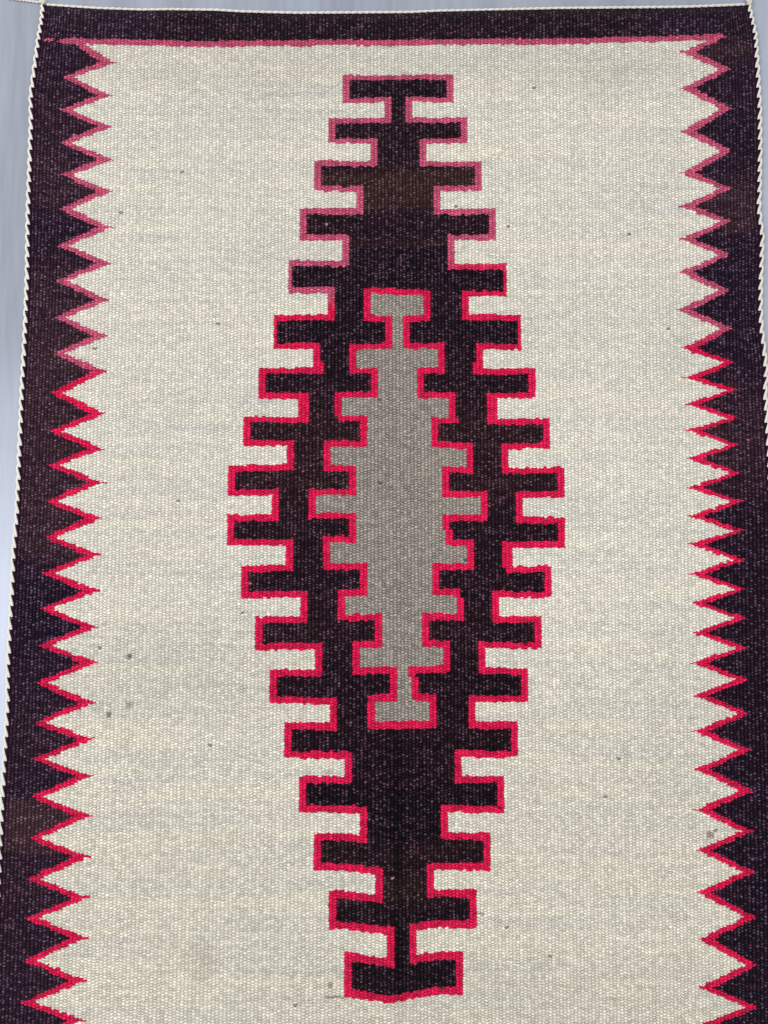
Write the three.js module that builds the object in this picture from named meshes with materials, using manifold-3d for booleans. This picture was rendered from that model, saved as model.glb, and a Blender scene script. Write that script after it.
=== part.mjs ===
// A handwoven wool rug that lies flat: a weft-faced cloth with lengthwise ribs, a twisted cord
// along each edge, and a knot with loose tails at each corner.
// Millimetres, +Z up. The rug lies on z = 0, its long way along Y and its top end towards +Y.
import * as THREE from 'three';
import { mergeVertices } from 'three/addons/utils/BufferGeometryUtils.js';
import Module from 'manifold-3d';

// Cloth
const CLOTH_WIDTH = 1052;
const CLOTH_LENGTH = 1493;
const CLOTH_THICKNESS = 4;
const RIB_COUNT = 208;
const RIB_HEIGHT = 0.7;

// The rug isn't quite square: its ends climb towards +X, its corners are drawn out by their ties,
// and the middle rib drifts sideways from the top end to the bottom end.
const END_CLIMB = 0.0122;
const CORNER_REACH = 8;
const MIDDLE_RIB_AT_TOP = 2;
const MIDDLE_RIB_AT_BOTTOM = 25;

// How far each long edge stands out from a straight line, down from the top end.
const LEFT_EDGE = [
  { down: 0, out: -9 },
  { down: 25, out: -8.5 },
  { down: 45, out: -5.5 },
  { down: 93, out: -1 },
  { down: 136, out: 2.5 },
  { down: 180, out: 0.5 },
  { down: 310, out: -0.5 },
  { down: 400, out: -3.3 },
  { down: 490, out: -3.7 },
  { down: 570, out: -2.9 },
  { down: 742, out: -3.3 },
  { down: 785, out: -1.2 },
  { down: 871, out: -0.8 },
  { down: 957, out: 0 },
  { down: 1000, out: -1.7 },
  { down: 1129, out: -0.3 },
  { down: 1340, out: 0 },
  { down: 1430, out: -2 },
  { down: 1493, out: -6 },
];
const RIGHT_EDGE = [
  { down: 0, out: -12 },
  { down: 45, out: -3.5 },
  { down: 100, out: -1 },
  { down: 160, out: 0.6 },
  { down: 220, out: 0 },
  { down: 275, out: -2.1 },
  { down: 304, out: -3.5 },
  { down: 345, out: 0.5 },
  { down: 421, out: -3.3 },
  { down: 450, out: -4.2 },
  { down: 480, out: -3.2 },
  { down: 510, out: 0 },
  { down: 540, out: 2.2 },
  { down: 570, out: 0 },
  { down: 660, out: 4 },
  { down: 760, out: 5.5 },
  { down: 960, out: 3 },
  { down: 1250, out: 5 },
  { down: 1420, out: 2 },
  { down: 1493, out: -5 },
];
// How far the top end stands out from an even line, across the rug.
const TOP_EDGE = [
  { x: -526, out: 4 },
  { x: -440, out: 1 },
  { x: -375, out: 0.3 },
  { x: -335, out: 1.8 },
  { x: -265, out: 2 },
  { x: -230, out: 0 },
  { x: -150, out: -1.6 },
  { x: 20, out: -0.5 },
  { x: 60, out: 1.5 },
  { x: 135, out: 3 },
  { x: 240, out: 5 },
  { x: 330, out: 4.7 },
  { x: 430, out: 3.6 },
  { x: 526, out: 4 },
];
// The ribs that bend with an edge's waves; those further in run straight from end to end.
const BENDING_RIBS = 8;
// The hem's lower line has a corner at every so many half ribs.
const HEM_STEP = 4;

// Cords: half the width across, the height of a section that stands upright, and the length of a
// half turn with the steps that it takes. A section is narrower the other way, by a share.
const SIDE_CORD = { reach: 3.9, height: 5.6, halfTurn: 15, steps: 3 };
const END_CORD = { reach: 1.9, height: 3.4, halfTurn: 10, steps: 2 };
const STRAND_SHARE = 0.5;
// An end cord stops short of the cloth's corners by this much, clear of the knots.
const END_CORD_INSET = 0.7;

// Corner ties: a knot, and tails that lie on the floor. A tail's heading is an angle in degrees
// from +X, and it turns by its bend on the way.
const KNOT = { across: 11, along: 10, height: 7.6 };
const TAIL = { width: 3.2, crown: 2.2, height: 2.6, steps: 6 };
const TAILS = {
  top_left: [
    { heading: 172, length: 48, bend: 16 },
    { heading: 138, length: 40, bend: -22 },
    { heading: 96, length: 44, bend: 12 },
  ],
  top_right: [
    { heading: 52, length: 50, bend: -14 },
    { heading: 84, length: 42, bend: 18 },
    { heading: 122, length: 36, bend: 20 },
  ],
  bottom_left: [
    { heading: 184, length: 44, bend: -18 },
    { heading: 226, length: 48, bend: 14 },
    { heading: 262, length: 40, bend: -12 },
  ],
  bottom_right: [
    { heading: -8, length: 46, bend: 16 },
    { heading: -46, length: 42, bend: -18 },
    { heading: -88, length: 48, bend: 14 },
  ],
};

// The gap that parts two pieces which touch on the real rug.
const GAP = 0.3;
const CREAM = 0xcdc6b2;
const CORD_CREAM = 0xd8d2c2;

const HALF_WIDTH = CLOTH_WIDTH / 2;
const HALF_LENGTH = CLOTH_LENGTH / 2;
const LINES = RIB_COUNT * 2;

const wasm = await Module();
wasm.setup();

// How far an edge stands out at a place between a table's rows, which its named column measures.
function outAt(rows, column, place) {
  const last = rows.length - 1;
  const at = THREE.MathUtils.clamp(place, rows[0][column], rows[last][column]);
  const i = Math.min(rows.findLastIndex((row) => row[column] <= at), last - 1);
  const share = (at - rows[i][column]) / (rows[i + 1][column] - rows[i][column]);
  return THREE.MathUtils.lerp(rows[i].out, rows[i + 1].out, share);
}

// Where a long edge stands, side -1 for the left and +1 for the right, at a distance down the rug.
function edgeX(side, down) {
  return side * (HALF_WIDTH + outAt(side < 0 ? LEFT_EDGE : RIGHT_EDGE, 'down', down));
}

// The line of the cloth's end, end +1 for the top and -1 for the bottom.
function endY(end, x) {
  const reach = CORNER_REACH * Math.abs(x / HALF_WIDTH) ** 3;
  const uneven = end > 0 ? outAt(TOP_EDGE, 'x', x) : 0;
  return end * (HALF_LENGTH + reach + uneven) + END_CLIMB * x;
}

// The y of a distance down the rug, at x: it follows the ends near them.
function downY(down, x) {
  return THREE.MathUtils.lerp(endY(1, x), endY(-1, x), down / CLOTH_LENGTH);
}

// One line of a crest or a furrow, as points from the top end to the bottom end.
function ribLine(index) {
  const side = index < RIB_COUNT ? -1 : 1;
  const fromMiddle = Math.abs(index - RIB_COUNT) / RIB_COUNT;
  const fromEdge = Math.min(index, LINES - index) / 2;
  const bending = Math.max(0, 1 - fromEdge / BENDING_RIBS);
  const rows = side < 0 ? LEFT_EDGE : RIGHT_EDGE;
  const stops = bending > 0 ? rows.map((row) => row.down) : [0, CLOTH_LENGTH];
  const z = index % 2 ? CLOTH_THICKNESS : CLOTH_THICKNESS - RIB_HEIGHT;
  return stops.map((down) => {
    const share = down / CLOTH_LENGTH;
    const middle = THREE.MathUtils.lerp(MIDDLE_RIB_AT_TOP, MIDDLE_RIB_AT_BOTTOM, share);
    const straight = THREE.MathUtils.lerp(middle, side * HALF_WIDTH, fromMiddle);
    const x = straight + bending * (edgeX(side, down) - side * HALF_WIDTH);
    return { share, x, y: downY(down, x), z };
  });
}

// Collects points and faces of one closed surface.
class Surface {
  constructor() {
    this.points = [];
    this.faces = [];
  }

  add({ x, y, z }) {
    this.points.push(x, y, z);
    return this.points.length / 3 - 1;
  }

  // Triangles between two rows of points that run the same way; the face looks to the side from
  // which the first row is on the left. Each point has a share along its row.
  strip(first, second) {
    let a = 0;
    let b = 0;
    while (a < first.length - 1 || b < second.length - 1) {
      const nextA = a < first.length - 1 ? first[a + 1].share : Infinity;
      const nextB = b < second.length - 1 ? second[b + 1].share : Infinity;
      if (nextA <= nextB) {
        this.faces.push(first[a].id, first[a + 1].id, second[b].id);
        a += 1;
      } else {
        this.faces.push(first[a].id, second[b + 1].id, second[b].id);
        b += 1;
      }
    }
  }

  geometry() {
    const made = new THREE.BufferGeometry();
    made.setAttribute('position', new THREE.Float32BufferAttribute(this.points, 3));
    made.setIndex(this.faces);
    made.computeVertexNormals();
    return made;
  }
}

function woollen(color) {
  return new THREE.MeshStandardMaterial({ color, roughness: 0.95, metalness: 0 });
}

function piece(name, geometry, material) {
  const mesh = new THREE.Mesh(geometry, material);
  mesh.name = name;
  return mesh;
}

// The cloth: ribs on its upper face, straight walls round it and one flat underside.
function clothGeometry() {
  const cloth = new Surface();
  const lines = Array.from({ length: LINES + 1 }, (_, i) => ribLine(i));
  for (const line of lines) {
    for (const point of line) point.id = cloth.add(point);
  }
  for (let i = 0; i < LINES; i += 1) cloth.strip(lines[i], lines[i + 1]);

  const foot = (point) => ({ ...point, z: 0, id: cloth.add({ ...point, z: 0 }) });
  const feet = { left: lines[0].map(foot), right: lines[LINES].map(foot) };
  cloth.strip(feet.left, lines[0]);
  cloth.strip(lines[LINES], feet.right);

  const rim = {};
  for (const [name, at] of [['top', 0], ['bottom', -1]]) {
    rim[name] = lines.map((line, i) => ({ ...line.at(at), share: i / LINES }));
    feet[name] = rim[name]
      .filter((_, i) => i % HEM_STEP === 0)
      .map((point) => {
        if (point.share === 0) return { ...feet.left.at(at), share: 0 };
        if (point.share === 1) return { ...feet.right.at(at), share: 1 };
        return foot(point);
      });
  }
  cloth.strip(rim.top, feet.top);
  cloth.strip(feet.bottom, rim.bottom);

  const outline = [
    ...feet.left,
    ...feet.bottom.slice(1, -1),
    ...feet.right.toReversed(),
    ...feet.top.slice(1, -1).toReversed(),
  ];
  const flat = outline.map((point) => new THREE.Vector2(point.x, point.y));
  for (const [a, b, c] of THREE.ShapeUtils.triangulateShape(flat, [])) {
    cloth.faces.push(outline[a].id, outline[c].id, outline[b].id);
  }
  return cloth.geometry();
}

// A two-strand twisted cord along a path, as a flat section that turns half round in each half
// turn. place gives the middle of the cord, and the way across it, at a distance along it.
// In an odd number of steps the section never stands quite upright, so the cord lies lower.
// Each face is split along its shorter diagonal, which depends on the sense of the twist.
function cordGeometry({ reach, height, halfTurn, steps }, length, sense, place) {
  const cord = new Surface();
  const count = Math.round(length / halfTurn) * steps;
  const middle = (height / 2) * (steps % 2 ? Math.cos(Math.PI / (2 * steps)) : 1);
  const rings = Array.from({ length: count + 1 }, (_, step) => {
    const { x, y, across } = place((step / count) * length);
    const turned = (sense * step * Math.PI) / steps;
    return [0, 1, 2, 3].map((corner) => {
      const angle = turned + (corner * Math.PI) / 2;
      const radius = corner % 2 ? STRAND_SHARE : 1;
      const side = reach * radius * Math.cos(angle);
      const up = (height / 2) * radius * Math.sin(angle);
      return cord.add({ x: x + across.x * side, y: y + across.y * side, z: middle + up });
    });
  });
  for (let i = 0; i < count; i += 1) {
    for (let k = 0; k < 4; k += 1) {
      const [a, b] = [rings[i][k], rings[i][(k + 1) % 4]];
      const [c, d] = [rings[i + 1][k], rings[i + 1][(k + 1) % 4]];
      if (sense > 0) cord.faces.push(a, b, c, b, d, c);
      else cord.faces.push(a, b, d, a, d, c);
    }
  }
  const [first, last] = [rings[0], rings[count]];
  cord.faces.push(first[0], first[2], first[1], first[0], first[3], first[2]);
  cord.faces.push(last[0], last[1], last[2], last[0], last[2], last[3]);
  return cord.geometry();
}

function sideCord(side) {
  const off = side * (GAP + SIDE_CORD.reach);
  const across = { x: -1, y: 0 };
  return cordGeometry(SIDE_CORD, CLOTH_LENGTH, side, (distance) => {
    const down = CLOTH_LENGTH - distance;
    const x = edgeX(side, down);
    return { x: x + off, y: downY(down, x), across };
  });
}

function endCord(end) {
  const off = end * (GAP + END_CORD.reach);
  const down = end > 0 ? 0 : CLOTH_LENGTH;
  const [left, right] = [edgeX(-1, down) + END_CORD_INSET, edgeX(1, down) - END_CORD_INSET];
  const across = { x: 0, y: 1 };
  return cordGeometry(END_CORD, right - left, 1, (distance) => {
    const x = left + distance;
    return { x, y: endY(end, x) + off, across };
  });
}

// A closed mesh as a solid that can be joined to others, and back again.
function solidOf(geometry) {
  const bare = geometry.clone();
  bare.deleteAttribute('normal');
  if (bare.getAttribute('uv')) bare.deleteAttribute('uv');
  const merged = mergeVertices(bare, 1e-4);
  const vertProperties = new Float32Array(merged.getAttribute('position').array);
  const triVerts = new Uint32Array(merged.getIndex().array);
  return new wasm.Manifold(new wasm.Mesh({ numProp: 3, vertProperties, triVerts }));
}

function geometryOf(solid) {
  const mesh = solid.getMesh();
  const made = new THREE.BufferGeometry();
  made.setAttribute('position', new THREE.Float32BufferAttribute(mesh.vertProperties, 3));
  made.setIndex(Array.from(mesh.triVerts));
  made.computeVertexNormals();
  return made;
}

// A tail that lies level on the floor, with a flat underside and a narrower crown.
function tailGeometry(start, { heading, length, bend }) {
  const tail = new Surface();
  const at = { x: start.x, y: start.y };
  const rings = [];
  for (let step = 0; step <= TAIL.steps; step += 1) {
    const angle = THREE.MathUtils.degToRad(heading + (bend * step) / TAIL.steps);
    const across = { x: -Math.sin(angle), y: Math.cos(angle) };
    const corner = (side, z) => tail.add({ x: at.x + across.x * side, y: at.y + across.y * side, z });
    rings.push([
      corner(TAIL.width / 2, 0),
      corner(TAIL.crown / 2, TAIL.height),
      corner(-TAIL.crown / 2, TAIL.height),
      corner(-TAIL.width / 2, 0),
    ]);
    at.x += (Math.cos(angle) * length) / TAIL.steps;
    at.y += (Math.sin(angle) * length) / TAIL.steps;
  }
  for (let i = 0; i < TAIL.steps; i += 1) {
    for (let k = 0; k < 4; k += 1) {
      const [a, b] = [rings[i][k], rings[i][(k + 1) % 4]];
      const [c, d] = [rings[i + 1][k], rings[i + 1][(k + 1) % 4]];
      tail.faces.push(a, b, d, a, d, c);
    }
  }
  const [first, last] = [rings[0], rings[TAIL.steps]];
  tail.faces.push(first[0], first[2], first[1], first[0], first[3], first[2]);
  tail.faces.push(last[0], last[1], last[2], last[0], last[2], last[3]);
  return tail.geometry();
}

function cornerTie(side, end, tails) {
  const down = end > 0 ? 0 : CLOTH_LENGTH;
  const edge = edgeX(side, down);
  const start = {
    x: edge + side * (GAP + SIDE_CORD.reach),
    y: endY(end, edge) + end * (GAP + KNOT.along / 2),
  };
  const knot = new THREE.SphereGeometry(0.5, 10, 6);
  knot.rotateX(Math.PI / 2);
  knot.scale(KNOT.across, KNOT.along, KNOT.height);
  knot.translate(start.x, start.y, KNOT.height / 2);
  let tie = solidOf(knot);
  for (const tail of tails) tie = tie.add(solidOf(tailGeometry(start, tail)));
  return geometryOf(tie);
}

const cloth = woollen(CREAM);
const cord = woollen(CORD_CREAM);
const rug = new THREE.Group();
rug.add(
  piece('woven_field', clothGeometry(), cloth),
  piece('side_cord_left', sideCord(-1), cord),
  piece('side_cord_right', sideCord(1), cord),
  piece('end_cord_top', endCord(1), cord),
  piece('end_cord_bottom', endCord(-1), cord),
  piece('corner_tie_top_left', cornerTie(-1, 1, TAILS.top_left), cord),
  piece('corner_tie_top_right', cornerTie(1, 1, TAILS.top_right), cord),
  piece('corner_tie_bottom_left', cornerTie(-1, -1, TAILS.bottom_left), cord),
  piece('corner_tie_bottom_right', cornerTie(1, -1, TAILS.bottom_right), cord),
);

// The origin is the middle of the whole footprint, on the floor.
const footprint = new THREE.Box3().setFromObject(rug).getCenter(new THREE.Vector3());
rug.position.set(-footprint.x, -footprint.y, 0);

export default rug;
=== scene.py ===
import math
import random

import bpy
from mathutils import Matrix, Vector


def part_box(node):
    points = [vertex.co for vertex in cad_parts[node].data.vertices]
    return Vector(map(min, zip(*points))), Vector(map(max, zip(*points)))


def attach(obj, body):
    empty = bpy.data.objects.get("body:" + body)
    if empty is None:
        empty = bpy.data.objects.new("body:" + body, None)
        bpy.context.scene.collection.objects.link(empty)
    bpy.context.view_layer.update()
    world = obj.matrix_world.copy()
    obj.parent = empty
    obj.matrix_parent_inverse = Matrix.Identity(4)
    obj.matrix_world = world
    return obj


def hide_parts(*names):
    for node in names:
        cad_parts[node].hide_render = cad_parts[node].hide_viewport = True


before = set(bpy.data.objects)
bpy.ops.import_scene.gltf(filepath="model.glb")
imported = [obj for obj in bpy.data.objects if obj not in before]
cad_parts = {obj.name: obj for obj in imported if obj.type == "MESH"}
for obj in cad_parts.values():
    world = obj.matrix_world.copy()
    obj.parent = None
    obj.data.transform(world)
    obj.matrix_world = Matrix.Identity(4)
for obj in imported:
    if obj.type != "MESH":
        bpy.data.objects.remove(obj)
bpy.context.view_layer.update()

MM = 0.001

# Cloth, in millimetres and ribs. A rib is one covered warp; a bead is one visible turn of the weft
# over it, and the beads of neighbouring ribs are half a bead apart.
CLOTH_WIDTH = 1052
CLOTH_LENGTH = 1493
CLOTH_THICKNESS = 4
RIB_COUNT = 208
RIB_WIDTH = CLOTH_WIDTH / RIB_COUNT
RIB_HEIGHT = 0.7
BEAD = 3.7
# How far a bead bulges over the furrow beside it, in ribs, and how far its ends sag, in millimetres.
BULGE = 0.09
SAG = 0.5
END_CLIMB = 0.0122
CORNER_REACH = 8
MIDDLE_RIB_AT_TOP = 2
MIDDLE_RIB_AT_BOTTOM = 25
BENDING_RIBS = 8
FIELD_ROWS = 110
# Height of the cloth's face across one rib, as shares of the rib's width and of its height.
RIB_SECTION = [(0.0, 0.0), (0.22, 0.72), (0.5, 1.0), (0.78, 0.72)]

# How far each long edge stands out from a straight line: (down from the top end, out).
LEFT_EDGE = [
    (0, -9), (25, -8.5), (45, -5.5), (93, -1), (136, 2.5), (180, 0.5), (310, -0.5), (400, -3.3),
    (490, -3.7), (570, -2.9), (742, -3.3), (785, -1.2), (871, -0.8), (957, 0), (1000, -1.7),
    (1129, -0.3), (1340, 0), (1430, -2), (1493, -6),
]
RIGHT_EDGE = [
    (0, -12), (45, -3.5), (100, -1), (160, 0.6), (220, 0), (275, -2.1), (304, -3.5), (345, 0.5),
    (421, -3.3), (450, -4.2), (480, -3.2), (510, 0), (540, 2.2), (570, 0), (660, 4), (760, 5.5),
    (960, 3), (1250, 5), (1420, 2), (1493, -5),
]
# How far the top end stands out from an even line: (across, out).
TOP_EDGE = [
    (-526, 4), (-440, 1), (-375, 0.3), (-335, 1.8), (-265, 2), (-230, 0), (-150, -1.6), (20, -0.5),
    (60, 1.5), (135, 3), (240, 5), (330, 4.7), (430, 3.6), (526, 4),
]

# The gap between the cloth and its cords, and how far past it each cord's middle line lies.
GAP = 0.3
SIDE_REACH = 3.9
END_REACH = 1.9
# The length of a half turn in a cord's twist, for the side cords as (down, length).
SIDE_HALF_TURNS = [(0, 11), (50, 11), (90, 15.5), (1493, 16.5)]
END_HALF_TURN = 9.6
TWIST_STEP = 2.0
END_CORD_STEP = 1.2
END_CORD_INSET = 1.5
# A cord's strands: how far they circle sideways and up round the middle line, how high that line
# lies, and each strand's own radius and sides.
SIDE_STRANDS = {"reach": 1.95, "rise": 1.3, "middle": 3.25, "radius": 1.95, "sides": 10}
END_STRANDS = {"reach": 0.95, "rise": 0.85, "middle": 2.6, "radius": 1.15, "sides": 8}

# The weft's turns round a side cord: their spacing, how far inside the cloth's edge they start,
# how far inside the cord's middle line they end, which grows as a strand comes out, how high they
# rise, and the radii along one turn.
WEFT_TURN = 2.5
TURN_ROOT = 0.9
TURN_TIP_FIRST, TURN_TIP_GROWTH, TURN_TIP_MOST, TURN_TIP_LUCK = -0.9, 5.6, 4.7, 0.25
TURN_HEIGHT, TURN_HEIGHT_LUCK = 4.5, 0.15
SIDE_TURN_RADII = [1.3, 1.45, 1.45, 1.35, 0.9]
# The dark turns beside an end cord: the height of an arch's middle, how far inside the cloth's end
# it lies, how far it reaches out, and the radii along one arch.
ARCH_HEIGHT, ARCH_INSET, ARCH_REACH = 2.6, 1.9, 0.7
END_TURN_RADII = [1.5, 1.7, 1.9, 1.9, 1.7, 1.5]

# The ties: the knot's box, the insets of its yarn's middle line, and the twist of yarn and tails.
KNOT = {"across": 11, "along": 10, "height": 7.6}
KNOT_INSET, KNOT_TOP_INSET = 1.6, 1.7
KNOT_STEPS = 48
YARN_PLIES, YARN_SIDES, YARN_HALF_TURN = 2, 7, 5
KNOT_PLY_REACH, KNOT_PLY_RADIUS = 0.7, 1.0
TAIL_PLY_REACH, TAIL_PLY_RADIUS = 0.75, 0.95
TAIL_STEPS = 24
TAIL_HEIGHT = 1.75
# The length over which a tail comes down to the floor.
TAIL_DROP = 9
# A tail's loose fibres: how many, how wide they spread in degrees, and the radii along each.
FRAY_COUNT, FRAY_SPREAD = 7, 38
FRAY_RADII = [0.45, 0.36, 0.26, 0.1]
# Each tail's heading in degrees from +X, its length, and how far it turns on the way.
TAILS = {
    "corner_tie_top_left": [(172, 48, 2), (138, 40, -22), (96, 44, 12)],
    "corner_tie_top_right": [(52, 50, -14), (84, 42, 18), (122, 36, 20)],
    "corner_tie_bottom_left": [(184, 44, -18), (226, 48, 14), (262, 40, -12)],
    "corner_tie_bottom_right": [(-8, 46, 16), (-46, 42, -18), (-88, 48, 14)],
}

# The figure's bars where the weaver's beat changes, with even steps between them: the bar's
# number, how far down the rug its dark body begins, and the height of that body.
BAR_PLACES = [
    (0, 102, 27), (1, 167, 24), (2, 233, 29), (3, 304, 31), (5, 461, 33), (6, 538, 27),
    (9, 750, 25), (11, 890, 28), (14, 1110, 30), (16, 1263, 31), (17, 1345, 36),
]
BAR_COUNT = 18
LAST_BAR = BAR_COUNT - 1
LAST_GAP = LAST_BAR - 1
# Height of the red edges over and under the first bar's body, and what each next bar's has more.
RED_EDGE, RED_EDGE_STEP = 7.3, 0.2
# Where a bar's lines stand in the figure's own count of rows, in which each bar adds one.
DARK_FROM, DARK_TO, RED_TO = 0.125, 0.515, 0.64
# Half widths in ribs: the ones at the figure's two ends, and what each step to its middle adds.
BAR_HALF, BAR_STEP = 16, 3.87
STEM_HALF, STEM_STEP = 3.7, 3.97
GREY_BAR_HALF, GREY_BAR_STEP = 7.5, 3.85
GREY_STEM_HALF, GREY_STEM_STEP = 1.7, 3.6
# The grey middle's first and last gap, and its first and last bar.
GREY_GAPS = (4, 12)
GREY_BARS = (5, 12)
OUTLINE, INNER_OUTLINE = 1.7, 2.0
# How much lower the figure's right arms lie than its left ones: (down, lower).
LEANS = [
    (0, 0), (345, 0), (370, 6), (420, 6), (450, 0.5), (575, 0.5), (605, 3.3), (785, 3.3),
    (815, 0), (1000, -2.5), (1180, 0), (1493, 0.5),
]

# The figure's small unevennesses: how far its rows dip at the middle fold, how many ribs it drifts
# to the right on the way down, how much less its last stem does, and how many ribs further left
# the grey middle's upper part lies.
FOLD_DIP = 7.5
DRIFT, LAST_STEM_BACK, UPPER_GREY_BACK = 0.85, 0.7, 0.7
# How many ribs wider its outline, its bars and its stems are in its lower half, and how much
# higher the grey middle's rows lie there.
LOWER_OUTLINE, LOWER_BAR, LOWER_STEM = 0.4, 0.4, 0.5
GREY_LIFT = 3.2
# A half width at which nothing shows.
NOTHING = -20.0

# The border's teeth where their spacing changes: (tooth, how far down the rug its tip stands).
LEFT_TEETH = [
    (-0.5, 45), (0, 80), (2, 177), (4, 274), (9, 537), (10, 596), (17, 944), (18, 1000),
    (20, 1098), (25, 1368), (26.5, 1448),
]
RIGHT_TEETH = [
    (-0.5, 40), (0, 63), (1, 118), (3, 246), (6, 391), (8, 503), (9, 543), (12, 660), (19, 944),
    (20, 988), (22, 1088), (25, 1253), (27, 1377), (28.5, 1449),
]
# How many ribs the two rows of teeth stand further out than usual: (down, out).
LEFT_OUT = [(0, 0), (150, 0.8), (250, -0.3), (700, -0.5), (900, 0), (1493, 0)]
RIGHT_OUT = [(0, 0.9), (185, 0.8), (340, -0.2), (450, -1.2), (545, 0.5), (900, 1.4), (1493, 1.9)]
# Ribs from the middle to the border, where its own dark wools begin.
BORDER_FROM = 70.0
# Ribs from the middle to the dark's and to the cream's edge at a tooth's tip, and what is added
# at its valley. The valleys get deeper on the way down.
TIP_DARK, DARK_DEPTH = 85.5, 10.3
TIP_CREAM, CREAM_DEPTH = 81.4, 11.2
VALLEY_GROWTH = 2.0

# The border's thin line: how far from the cloth's ends it runs, and the ribs from the middle at
# which it ends, left and right. It slants a little with the rows, and its ends are pointed.
LINE_FROM, LINE_TO = 41.0, 50.0
LINE_ENDS = (98.6, 95.4)
LINE_SLANT, LINE_POINT = 0.04, 0.6

# How far down the rug the red wool is faded, left and right, in the figure and in the border, and
# half the length over which it changes.
FIGURE_FADES = (435.0, 375.0)
BORDER_FADES = (535.0, 490.0)
FADE_SOFTNESS = 14

# Bands of dark wool, from navy (0) over plum (0.5) to brown (1): (down, tone).
FIGURE_TONES = [
    (0, 0.3), (95, 0.3), (102, 0.15), (130, 0.15), (145, 0.4), (190, 0.4), (232, 0.45), (248, 0.95),
    (292, 0.9), (304, 0.4), (334, 0.45), (342, 0.65), (350, 0.6), (359, 0.1), (395, 0.1), (410, 0.2),
    (500, 0.2), (560, 0.4), (600, 0.65), (700, 0.65), (760, 0.4), (800, 0.35), (870, 0.45), (900, 0.55),
    (950, 0.35), (1070, 0.4), (1110, 0.35), (1128, 0.0), (1180, 0.0), (1192, 0.6), (1228, 0.55),
    (1240, 0.9), (1264, 0.85), (1276, 0.3), (1345, 0.15), (1493, 0.25),
]
LEFT_TONES = [
    (0, 0.5), (50, 0.45), (150, 0.55), (235, 0.7), (300, 0.65), (320, 0.25), (350, 0.4), (400, 0.7),
    (560, 0.8), (700, 0.75), (790, 0.8), (820, 0.4), (845, 0.05), (890, 0.05), (930, 0.3),
    (1000, 0.5), (1045, 0.6), (1090, 0.5), (1115, 0.4), (1145, 1.0), (1190, 0.95), (1210, 0.5),
    (1260, 0.6), (1330, 0.45), (1493, 0.5),
]
RIGHT_TONES = [
    (0, 0.35), (45, 0.4), (60, 0.75), (75, 0.75), (90, 0.4), (150, 0.35), (210, 0.1), (240, 0.35),
    (270, 0.75), (330, 0.85), (350, 0.2), (500, 0.2), (560, 0.6), (640, 0.75), (700, 0.7), (740, 0.4),
    (850, 0.45), (1000, 0.35), (1250, 0.2), (1493, 0.25),
]

# Lazy lines, the slanted joins between parts of the ground: (rib, down, rib, down).
LAZY_LINES = [
    (-22.8, 91, -60.4, 177), (20.3, 98, 46.3, 156),
    (-30.7, 338, -54.4, 387), (33.5, 1106, 53.1, 1167),
]
# Stains: (rib, down, reach, strength).
STAINS = [
    (-72.6, 937, 5, 0.8), (-72.2, 1003, 6, 0.45), (-77.5, 1015, 5, 0.75), (86.9, 1177, 6, 0.7),
    (-61.2, 244, 2.5, 1.0), (-18.6, 1378, 5, 0.6), (-52, 1345, 30, 0.12), (60, 104, 45, 0.08),
]
# Broad patches of painted light and shade on the ground: (rib, down, reach in ribs, reach down,
# how much lighter).
SHADES = [
    (-50, 75, 60, 55, -0.09), (42, 85, 45, 45, -0.08), (60, 250, 55, 250, 0.07),
    (55, 740, 55, 260, 0.08), (-52, 960, 50, 80, -0.07), (-50, 1250, 60, 120, -0.03),
    (20, 1400, 90, 70, -0.06),
]
# Loose weft ends on the ground: (rib, down, rib, down).
LOOSE_ENDS = [(-19.2, 1393, -15.3, 1394), (20.6, 1284, 22.2, 1285)]

# Wool colours, as sRGB.
CREAM_COOL = (217, 213, 203)
CREAM_WARM = (229, 220, 201)
# Dark wools of the figure and of the border, each from navy over plum to brown, and the colours
# that their beads have where the light lies on them.
FIGURE_WOOLS = [(11, 3, 19), (37, 15, 26), (70, 44, 36)]
BORDER_WOOLS = [(18, 8, 32), (43, 18, 39), (77, 49, 51)]
FIGURE_SHEEN = (121, 91, 107)
BORDER_SHEEN = (123, 97, 119)
STAIN = (112, 84, 52)
GREY = (152, 143, 134)
RED = (219, 28, 76)
PINK = (194, 82, 112)
CORD_CREAM = (241, 236, 224)
FLOOR = (168, 173, 186)

# Depth of the surface's relief, in metres, and the plies in a millimetre of yarn.
CLOTH_RELIEF, YARN_RELIEF = 0.0012, 0.0004
PLIES_IN_MM = 0.6

# The soft ridge down the cloth's middle: where it starts, over what length it grows, its height,
# its place across the rug and its half width. The cloth's waves have their own height.
RIDGE_FROM, RIDGE_GROWTH, RIDGE_HEIGHT, RIDGE_X, RIDGE_HALF = 900, 260, 2.6, 6, 15
WAVE_HEIGHT = 0.5

# The stage, in metres, and each light's name, place, size and watts.
FLOOR_REACH = 6.0
FLOOR_DROP = 0.0003
SKY, SKY_STRENGTH = (0.93, 0.96, 1.0, 1), 0.58
LIGHTS = [
    ("window", (-1.7, 0.7, 2.2), 1.6, 42),
    ("ceiling", (0.9, -0.5, 3.0), 2.4, 36),
]
# The camera's place over the rug in millimetres, its tilt in degrees and its lens.
CAMERA_PLACE = (-8.93, -59.3, 1085)
CAMERA_TILT = 3.7
LENS, SENSOR = 27.035, 36
SEED = 7


def linear(color):
    """An sRGB colour of three bytes as linear shares."""
    return tuple(((c / 255 + 0.055) / 1.055) ** 2.4 if c > 10 else c / 255 / 12.92 for c in color)


def between(rows, at):
    """The value of a table of (place, value) rows at a place between them."""
    at = min(max(at, rows[0][0]), rows[-1][0])
    for (a, first), (b, second) in zip(rows, rows[1:]):
        if at <= b:
            return first + (second - first) * (at - a) / (b - a)
    return rows[-1][1]


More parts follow.
